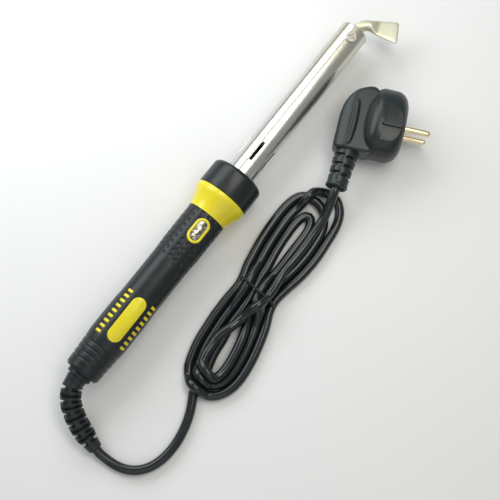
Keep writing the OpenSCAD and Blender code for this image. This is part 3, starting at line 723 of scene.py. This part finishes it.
def handleSkin():
    # Radius over station and angle: the profile, less grooves, dimples and the inlays' seats
    x = np.concatenate([np.linspace(0, 2.4, 12), np.arange(2.7, 27, 0.32), np.arange(27.2, 70, 0.5),
                        np.arange(70.5, 100.5, 1.2), np.arange(100.6, 142.8, 0.36), [handle["length"]]])
    count = 244
    a = ringAngles(count)
    base = stationRadius(x, handle["stations"])
    groove = np.zeros_like(x)
    for i in range(handle["grooves"]):
        off = (x - handle["grooveAt"] - i * handle["groovePitch"]) / handle["grooveHalf"]
        groove = np.maximum(groove, handle["grooveDeep"] * np.sqrt(np.maximum(0, 1 - off ** 2)))
    r = np.repeat((base - groove)[:, None], count, axis=1)
    face = math.radians(handle["faceRoll"])
    arc = ((a[None, :] - face + np.pi) % (2 * np.pi) - np.pi) * base[:, None]
    xx = x[:, None]
    columnPitch = 2 * np.pi / handle["dimpleColumns"] * base[:, None]
    row = np.clip(np.round((xx - handle["dimpleAt"]) / handle["dimplePitch"]), 0, handle["dimpleRows"] - 1)
    rowX = handle["dimpleAt"] + row * handle["dimplePitch"]
    columnArc = np.round(arc / columnPitch) * columnPitch
    off = np.hypot(xx - rowX, arc - columnArc) / handle["dimpleRadius"]
    clear = stadiumGap(rowX - handle["badgeAt"], columnArc, *handle["badge"]) > 0.4
    r = r - clear * handle["dimpleDeep"] * np.sqrt(np.maximum(0, 1 - off ** 2))
    seat = np.minimum(stadiumGap(xx - handle["badgeAt"], arc, *handle["badge"]),
                      stadiumGap(xx - handle["labelAt"], arc, *handle["label"]))
    for side in (-1, 1):
        barArc = arc - math.radians(side * handle["barSpread"]) * base[:, None]
        i = np.round((xx - handle["labelAt"]) / handle["barPitch"])
        i = np.clip(i, -handle["barsEachWay"], handle["barsEachWay"])
        barX = xx - handle["labelAt"] - i * handle["barPitch"]
        seat = np.minimum(seat, barGap(barX, barArc, *handle["bar"]))
    r = r - handle["inlaySeat"] * (1 - smoothStep(seat, -handle["seatEdge"], handle["seatEdge"]))
    skin = np.stack([np.broadcast_to(xx, r.shape), -r * np.sin(a), r * np.cos(a)], axis=-1)
    end, tip = handle["length"], handle["length"] + handle["spigotLength"]
    inner = [[end, 13.4], [end, handle["spigot"]], [tip, handle["spigot"]], [tip, handle["cavity"]],
             [handle["rearWall"], handle["cavity"]], [handle["rearWall"], handle["neckBore"]],
             [0.0, handle["neckBore"]], [0.0, 11.6]]
    core = turnedGrid(inner, count)
    core[..., 1] *= -1
    return inIron(np.concatenate([skin, core]))


handleObject = makePiece("handleShell", [handleSkin()], finishes["black_plastic"], sharp=60, wrapRows=True)
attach(handleObject, "iron")
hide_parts("handle_body")
print("handle made")


def onHandle(x, across, height, roll):
    # Wraps a flat place on the handle: the distance across becomes an angle about the axis
    base = stationRadius(x, handle["stations"])
    a = math.radians(roll) + across / base
    r = base + height
    return inIron(np.stack([x, -r * np.sin(a), r * np.cos(a)], axis=-1))


def roundedOutline(length, width, corner):
    # Around a rectangle with round corners, starting at its right side
    corner = min(corner, length / 2, width / 2)
    cx, cy = length / 2 - corner, width / 2 - corner
    parts = []
    for k, (sx, sy) in enumerate(((1, 1), (-1, 1), (-1, -1), (1, -1))):
        a = np.radians(np.linspace(0, 90, 9) + 90 * k)
        parts.append(np.stack([sx * cx + corner * np.cos(a), sy * cy + corner * np.sin(a)], axis=1))
        nx, ny = ((-1, 1), (-1, -1), (1, -1), (1, 1))[k]
        t = np.linspace(0, 1, 26 if k % 2 == 0 else 8)[1:-1, None]
        start, end = parts[-1][-1], np.array([nx * cx, ny * cy]) + corner * np.array(
            [math.cos(math.radians(90 * k + 90)), math.sin(math.radians(90 * k + 90))])
        parts.append(start + (end - start) * t)
    return np.concatenate(parts)


def wrappedPad(centre, roll, size, corner, rings):
    # Rings of [inset, height] round an outline, wrapped on the handle
    layers = []
    for inset, height in rings:
        flat = roundedOutline(max(size[0] - 2 * inset, 1e-4), max(size[1] - 2 * inset, 1e-4),
                              max(corner - inset, 1e-5))
        layers.append(onHandle(centre + flat[:, 0], flat[:, 1], np.full(len(flat), height), roll))
    return np.stack(layers)


def padRings(half, top, bottom=-0.62, edge=0.35):
    # Up the side, over a rounded edge and across a slightly crowned top
    a = np.radians([0, 25, 50, 75, 90])
    rim = [(edge * (1 - math.cos(t)), top - 0.12 - edge + edge * math.sin(t)) for t in a]
    return [(half, bottom), (0.0, bottom)] + rim + [(half * 0.5, top - 0.03), (half, top)]


badgeObject = makePiece("badgeFrame", [wrappedPad(
    handle["badgeAt"], handle["faceRoll"], handle["badge"], 5.8,
    [(0, -0.62), (0, 0.35), (0.18, 0.62), (0.5, 0.78), (1.0, 0.84), (1.5, 0.78), (1.82, 0.62),
     (2.0, 0.35), (2.0, -0.62)])], finishes["yellow_plastic"], wrapRows=True)
plateObject = makePiece("badgePlate", [wrappedPad(
    handle["badgeAt"], handle["faceRoll"], (15.9, 7.5), 3.75, padRings(3.75, 0.4))],
    finishes["badge_silver"])
labelObject = makePiece("labelPlate", [wrappedPad(
    handle["labelAt"], handle["faceRoll"], handle["label"], 5.7, padRings(5.7, 0.34))],
    finishes["yellow_plastic"])
barPlaces = [(handle["labelAt"] + i * handle["barPitch"], handle["faceRoll"] + side * handle["barSpread"])
             for side in (-1, 1) for i in range(-handle["barsEachWay"], handle["barsEachWay"] + 1)]
barGrids = [wrappedPad(centre, roll, handle["bar"], 0.6, padRings(1.1, 0.42, edge=0.3))
            for centre, roll in barPlaces]
barsObject = makePiece("gripBars", barGrids, finishes["yellow_plastic"])
for piece, nodeName, slotName in ((badgeObject, "badge_frame", "yellow_plastic"),
                                  (plateObject, "badge_plate", "badge_silver"),
                                  (labelObject, "label_plate", "yellow_plastic"),
                                  (barsObject, "grip_bars", "yellow_plastic")):
    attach(piece, "iron")
    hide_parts(nodeName)
print("inlays made")

front = {"ringAt": 143.0, "collarAt": 161.0, "noseAt": 182.0, "rim": 20.8, "collar": 20.6,
         "collarEdge": 3.6, "collarInside": 17.75,
         "barrel": 11.1, "wall": 0.6, "end": 326.0, "lip": 1.1, "slots": 5, "slotFirst": 194.0,
         "slotLength": 17.0, "slotWidth": 2.6, "slotRoll": 4.0, "screwAt": 315.5, "screwRoll": 11.0,
         "screwHole": 2.3}


def ringProfile():
    # A flare that grows with a power of the station, a flat rim and a stepped bore
    t = np.linspace(0, 1, 30)
    flare = np.stack([front["ringAt"] + t * 13.5, 15.55 + (front["rim"] - 0.35 - 15.55) * t ** 1.45], axis=1)
    low, high = front["ringAt"], front["collarAt"]
    shoulder = handle["length"] + handle["spigotLength"] + 0.2
    bore = handle["spigot"] + 0.05
    return (flare.tolist() + arcPairs(high - 3.0, front["rim"] - 0.9, 0.9, 115, 60, 6)
            + arcPairs(high - 0.8, front["rim"] - 0.8, 0.8, 85, 0, 6)
            + [[high, 11.2], [shoulder, 11.2], [shoulder, bore], [low, bore], [low, 15.2]])


def collarProfile():
    # A straight drum with a rounded front edge and a flat face round the barrel
    r, low, high = front["collar"], front["collarAt"], front["noseAt"]
    edge, inside = front["collarEdge"], front["collarInside"]
    return ([[low, inside], [low, r - 0.5]] + arcPairs(low + 0.5, r - 0.5, 0.5, 180, 90, 5)
            + arcPairs(high - edge, r - edge, edge, 90, 0, 14)
            + [[high, 12.0]] + arcPairs(high - 0.6, 12.0, 0.6, 0, -90, 4)
            + [[high - 3.5, 11.4], [high - 3.5, inside]])


def barrelObject():
    # A tube with long holes: faces inside a slot are left out and its edge points pulled onto the outline
    x = np.concatenate([[front["collarAt"], 175.0, 190.0], np.arange(193.0, 212.01, 0.4),
                        np.arange(215, 310, 5.0), np.arange(311.5, 319.6, 0.4), [322.0, 324.6]])
    count = 240
    a = ringAngles(count)
    end, rim = front["end"], front["lip"]
    lip = np.array(arcPairs(end - rim, front["barrel"] - rim, rim, 88, 0, 8)
                   + [[end, 8.0], [end - 0.05, 5.4]])
    stations = np.concatenate([x, lip[:, 0]])
    radii = np.concatenate([np.full(len(x), front["barrel"]), lip[:, 1]])
    xx, aa = np.meshgrid(stations, a, indexing="ij")

    def gapTo(xNow, aNow):
        # Signed distance and direction to the nearest hole's edge
        pitch = 2 * np.pi / front["slots"]
        base = aNow - math.radians(front["slotRoll"])
        arc = (base - np.round(base / pitch) * pitch) * front["barrel"]
        along = xNow - front["slotFirst"] - front["slotLength"] / 2
        reach = (front["slotLength"] - front["slotWidth"]) / 2
        over = np.sign(along) * np.maximum(np.abs(along) - reach, 0)
        far = np.hypot(over, arc) + 1e-9
        screwArc = ((aNow - math.radians(front["screwRoll"]) + np.pi) % (2 * np.pi) - np.pi) * front["barrel"]
        screwFar = np.hypot(xNow - front["screwAt"], screwArc) + 1e-9
        slot = far - front["slotWidth"] / 2
        screw = screwFar - front["screwHole"]
        closer = screw < slot
        return (np.where(closer, screw, slot),
                np.where(closer, (xNow - front["screwAt"]) / screwFar, over / far),
                np.where(closer, screwArc / screwFar, arc / far))

    gap, dx, da = gapTo(xx, aa)
    near = np.abs(gap) < 0.21
    xx = np.where(near, xx - gap * dx, xx)
    aa = np.where(near, aa - gap * da / front["barrel"], aa)
    r = np.broadcast_to(radii[:, None], xx.shape)
    grid = inIron(np.stack([xx, -r * np.sin(aa), r * np.cos(aa)], axis=-1))
    flatX, flatA = xx.reshape(-1), np.unwrap(aa, axis=1).reshape(-1)

    def inHole(quads):
        middleX = flatX[quads].mean(axis=1)
        angles = flatA[quads]
        angles = angles[:, :1] + (angles - angles[:, :1] + np.pi) % (2 * np.pi) - np.pi
        return gapTo(middleX, angles.mean(axis=1))[0] < 0

    piece = makePiece("barrelTube", [grid], finishes["barrel_steel"], sharp=50, drop=inHole)
    wall = piece.modifiers.new("wall", "SOLIDIFY")
    wall.thickness = front["wall"] * mm
    wall.offset = -1
    bpy.context.view_layer.update()
    applyModifiers(piece)
    return piece


ringObject = makePiece("yellowRing", [inIron(turnedGrid(ringProfile(), 160))], finishes["yellow_plastic"],
                       sharp=50, wrapRows=True)
collarObject = makePiece("frontCollar", [inIron(turnedGrid(collarProfile(), 160))], finishes["black_plastic"],
                         sharp=50, wrapRows=True)
barrelPiece = barrelObject()
for piece, nodeName, slotName in ((ringObject, "yellow_ring", "yellow_plastic"),
                                  (collarObject, "front_collar", "black_plastic"),
                                  (barrelPiece, "barrel", "barrel_steel")):
    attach(piece, "iron")
    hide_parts(nodeName)
print("ring, collar and barrel made")

bit = {"radius": 4.2, "from": 233.5, "bendAt": 327.0, "bend": 67.0, "bendRadius": 11.0, "length": 22.5,
       "half": 8.5, "skew": 0.6, "thick": 1.1, "slant": 6.0, "corner": 2.4}


def bitGrid():
    # A round rod that bends sideways, then flattens and widens: superellipses along the path
    turn = math.radians(bit["bend"])
    straight = np.linspace(bit["from"], bit["bendAt"], 14)
    b = np.linspace(0, turn, 25)[1:]
    s = np.concatenate([np.linspace(0.4, bit["length"] - 2.6, 34),
                        bit["length"] - 2 * (1 - np.sin(np.linspace(0.2, 1, 9) * np.pi / 2))])
    rootX = bit["bendAt"] + bit["bendRadius"] * math.sin(turn)
    rootY = -bit["bendRadius"] * (1 - math.cos(turn))
    bendX = bit["bendAt"] + bit["bendRadius"] * np.sin(b)
    bendY = -bit["bendRadius"] * (1 - np.cos(b))
    centre = np.concatenate([np.stack([straight, straight * 0], axis=1), np.stack([bendX, bendY], axis=1),
                             np.stack([rootX + s * 0, rootY + s * 0], axis=1)])
    heading = np.concatenate([straight * 0, b, s * 0 + turn])
    blade = np.concatenate([straight * 0 - 1, b * 0 - 1, s])
    flat = smoothStep(blade, -0.5, 7.0)
    wide = np.clip((blade - 4) / (bit["length"] - 6), 0, 1)
    swell = smoothStep(blade, -1, 5) * (1 - wide)
    left = bit["radius"] + swell * 1.0 + (bit["half"] - bit["skew"] - bit["radius"]) * wide
    right = bit["radius"] + swell * 1.4 + (bit["half"] + bit["skew"] - bit["radius"]) * wide ** 0.9
    close = np.clip((blade - bit["length"] + bit["corner"]) / bit["corner"], 0, 1)
    shrink = bit["corner"] * (1 - np.sqrt(np.maximum(0, 1 - close ** 2)))
    left = left - shrink
    right = right - shrink
    thick = (bit["radius"] + (bit["thick"] - bit["radius"]) * flat) * np.sqrt(np.maximum(0, 1 - close ** 4))
    power = 1 - 0.62 * flat
    a = ringAngles(72)
    c, q = np.cos(a)[None, :], np.sin(a)[None, :]
    across = np.sign(c) * np.abs(c) ** power[:, None]
    across = np.where(across > 0, across * left[:, None], across * right[:, None])
    up = np.sign(q) * np.abs(q) ** power[:, None] * thick[:, None]
    lean = math.tan(math.radians(bit["slant"])) * smoothStep(blade, 8, bit["length"])[:, None]
    along = np.maximum(blade, 0)[:, None] - lean * (across + bit["half"] + bit["skew"])
    along = np.where(blade[:, None] < 0, 0, along)
    h = heading[:, None]
    x = centre[:, :1] + along * np.cos(h) + across * np.sin(h)
    y = centre[:, 1:] - along * np.sin(h) + across * np.cos(h)
    return inIron(np.stack([x, y, up], axis=-1))


bitObject = makePiece("solderingBit", [bitGrid()], finishes["bit_copper"], sharp=45, caps=True)
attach(bitObject, "bit")
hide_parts("soldering_bit")
print("bit made")

plug = {"upper": 30.5, "lower": 24.5, "high": 20.0, "depth": 17.0, "panel": 17.6, "guideY": -3.4,
        "guide": 0.85, "guideDeep": 1.5, "grip": 11.0, "gripFall": 5.0, "gripRound": 2.2,
        "root": (-37.3, -22.5), "tip": (-39.5, -53.4), "rootRadius": 9.3, "tipRadius": 7.6,
        "pin": 2.4, "pinLength": 19.0, "pinRoot": 12.0, "pinSpacing": 19.0, "voxel": 0.42,
        "outline": [(-17, 16), (-24.4, 25.6), (-28.3, 27.4), (-34.2, 25.8), (-41, 21.6),
                    (-46.3, 14.2), (-48.8, 4.7), (-49.1, -8.3), (-49.1, -21.3), (-47.1, -24.4),
                    (-34.9, -24.7), (-21.6, -23.5), (-17, -15)],
        "slots": {"rows": 3, "first": 11.2, "pitch": 6.9, "half": 1.2, "open": 1.34, "deep": 2.4},
        "rib": [(-38.0, 13.8, 11.9), (-37.4, 4, 12.1), (-37.2, -6, 12.1), (-37.9, -15, 12.1),
                (-39.0, -21.6, 11.9)]}


def plugHead():
    # One section that grows and shrinks along the pins' axis: width * cos^k a, height * sin^k a
    station, size = np.array([
        (0, 0), (0, 0.3), (0, 0.6), (-0.35, 0.68), (-1.5, 0.79), (-3, 0.875), (-5, 0.94), (-7.5, 0.985),
        (-10, 1), (-14, 1), (-17, 1), (-19.5, 1), (-21, 0.988), (-22.5, 0.965), (-25, 0.895), (-27, 0.8),
        (-28.7, 0.69), (-30, 0.56), (-31, 0.38), (-31.5, 0.2), (-31.6, 0)]).T
    a = ringAngles(160)
    c, q = np.cos(a), np.sin(a)
    power = np.where(c > 0, 1.0, 0.8)
    y = np.where(c > 0, plug["upper"], plug["lower"]) * np.sign(c) * np.abs(c) ** power
    z = plug["high"] * np.sign(q) * np.abs(q) ** power
    k = size[:, None]
    return np.stack([np.broadcast_to(station[:, None], (len(station), 160)), k * y, k * z], axis=-1)


def plugGrip():
    # A slab of the grip's outline that falls away towards its rear edge, with rounded edges
    points = np.array(plug["outline"], float)
    closed = resample(np.concatenate([points, points[:1]])[:, [0, 1, 1]] * [1, 1, 0], 1.2)[:-1, :2]
    for _ in range(3):
        closed = 0.25 * np.roll(closed, 1, axis=0) + 0.5 * closed + 0.25 * np.roll(closed, -1, axis=0)
    middle = closed.mean(axis=0)
    size = np.linalg.norm(closed - middle, axis=1).mean()
    bevel = plug["gripRound"]
    edge = [(bevel * (1 - math.sin(t)), math.cos(t)) for t in np.radians([0, 20, 45, 70, 90])]
    steps = [(size * k, 1.0) for k in (0.98, 0.8, 0.62, 0.45, 0.3, 0.2)] + edge
    rings = []
    for inset, lift in steps + [(a, -b) for a, b in reversed(steps)]:
        flat = middle + (closed - middle) * (1 - inset / size)
        fall = plug["gripFall"] * np.clip((-38.6 - flat[:, 0]) / 11, 0, 1) ** 2
        side = 1 if lift > 0 else -1
        height = (plug["grip"] - bevel - fall) * side + bevel * lift if abs(lift) > 1e-9 else 0 * fall
        rings.append(np.column_stack([flat, height * np.ones(len(flat))]))
    return np.stack(rings)


def ribGrid(side):
    # A round bead along the grip's upper or lower face
    path = resample(np.array(plug["rib"]) * [1, 1, side] - [0, 0, 1.3 * side], 0.6)
    ends = np.linspace(-1, 1, len(path))
    return sweptGrid(path, 1.75 * (1 - np.abs(ends) ** 14 * 0.6), 20)


def boxGrid(low, high):
    # A box as four rings: a point, its near and far square and a point again
    square = np.array([[0, 0], [1, 0], [1, 1], [0, 1]], float)
    low, high = np.array(low, float), np.array(high, float)
    flat = low[1:] + square * (high - low)[1:]
    rings = [np.column_stack([np.full(4, x), flat]) for x in (low[0], high[0])]
    ends = [ring * 0 + ring.mean(axis=0) for ring in rings]
    return np.stack([ends[0], *rings, ends[1]])


def carve(piece, grids):
    # Takes closed shapes out of a piece
    tool = makePiece("tool", grids, finishes["plug_rubber"])
    step = piece.modifiers.new("carve", "BOOLEAN")
    step.operation = "DIFFERENCE"
    step.object = tool
    step.solver = "EXACT"
    bpy.context.view_layer.update()
    applyModifiers(piece)
    bpy.data.objects.remove(tool, do_unlink=True)


def plugShell():
    # Head, grip and beads fused with small fillets, then the flat panels and their guide grooves cut
    shell = makePiece("plugShell", [inPlug(plugHead()), inPlug(plugGrip()), inPlug(ribGrid(1)),
                                    inPlug(ribGrid(-1))], finishes["plug_rubber"], caps=True)
    fuse = shell.modifiers.new("fuse", "REMESH")
    fuse.mode = "VOXEL"
    fuse.voxel_size = plug["voxel"] * mm
    relax = shell.modifiers.new("relax", "SMOOTH")
    relax.factor = 0.5
    relax.iterations = 2
    bpy.context.view_layer.update()
    applyModifiers(shell)
    back, top = -plug["depth"], plug["panel"]
    floorZ = top - plug["guideDeep"]
    y, half = plug["guideY"], plug["guide"]
    past, wide, high = 5, 40, 30  # the cutting boxes reach past the head by these
    carve(shell, [inPlug(boxGrid((back, -wide, top), (past, wide, wide))),
                  inPlug(boxGrid((back, -wide, -wide), (past, wide, -top)))])
    carve(shell, [inPlug(boxGrid((back - half, y - half, floorZ), (past, y + half, high))),
                  inPlug(boxGrid((back - half, -y - half, -high), (past, -y + half, -floorZ)))])
    creaseMesh(shell, 32)
    return shell


def plugRelief():
    # The slotted neck that the cord leaves by
    root, tip = (np.array([*plug[key], 0.0]) for key in ("root", "tip"))
    path = resample([root + (root - tip) * 0.12, root, (root + tip) / 2, tip], 0.3)
    along = pathStations(path)
    whole = along[-1]
    r = plug["rootRadius"] + (plug["tipRadius"] - plug["rootRadius"]) * along / whole
    r = r + 0.5 * np.exp(-((along - whole + 1.6) / 1.3) ** 2)
    r = roundedEnd(along, r, 1.1)
    a = ringAngles(120)
    lift = along[:, None] - 0.5 * np.sign(np.cos(a))[None, :]
    slots = plug["slots"]
    dent = slotDent(lift, a[None, :], slots["rows"], slots["first"], slots["pitch"], slots["half"],
                    slots["open"], 0.0)
    tube = sweptGrid(inPlug(path), (r[:, None] - dent * slots["deep"]) * mm, 120)
    return makePiece("plugRelief", [tube], finishes["plug_rubber"], caps=True)


def pinGrids():
    # Round pins with domed tips
    tip = plug["pinLength"]
    r = plug["pin"]
    root = -plug["pinRoot"]
    profile = np.array([[root, 0.0], [root, r], [tip - 2.2, r]] + arcPairs(tip - r, 0.0, r, 80, 0, 9))
    a = ringAngles(40)
    x = np.broadcast_to(profile[:, :1], (len(profile), 40))
    return [inPlug(np.stack([x, profile[:, 1:] * np.cos(a), profile[:, 1:] * np.sin(a) + side
                             * plug["pinSpacing"] / 2], axis=-1)) for side in (-1, 1)]


shellObject = plugShell()
reliefObject = plugRelief()
pinsObject = makePiece("plugPins", pinGrids(), finishes["brass"], sharp=50)
for piece, nodeName, slotName in ((shellObject, "plug_body", "plug_rubber"),
                                  (reliefObject, "plug_body", "plug_rubber"),
                                  (pinsObject, "plug_pins", "brass")):
    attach(piece, "iron")
    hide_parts(nodeName)
print("plug made")

floorMesh = bpy.data.meshes.new("floor")
floorMesh.from_pydata([(-4, -4, 0), (4, -4, 0), (4, 4, 0), (-4, 4, 0)], [], [(0, 1, 2, 3)])
floorObject = bpy.data.objects.new("floor", floorMesh)
bpy.context.scene.collection.objects.link(floorObject)
floorBench = Bench("floorPaper", {"Roughness": 0.85, "Specular IOR Level": 0.2})
floorBench.feed("Base Color", floorBench.tint(floorBench.noise(3), (0.80, 0.80, 0.80), (0.83, 0.83, 0.83)))
floorMesh.materials.append(floorBench.material)
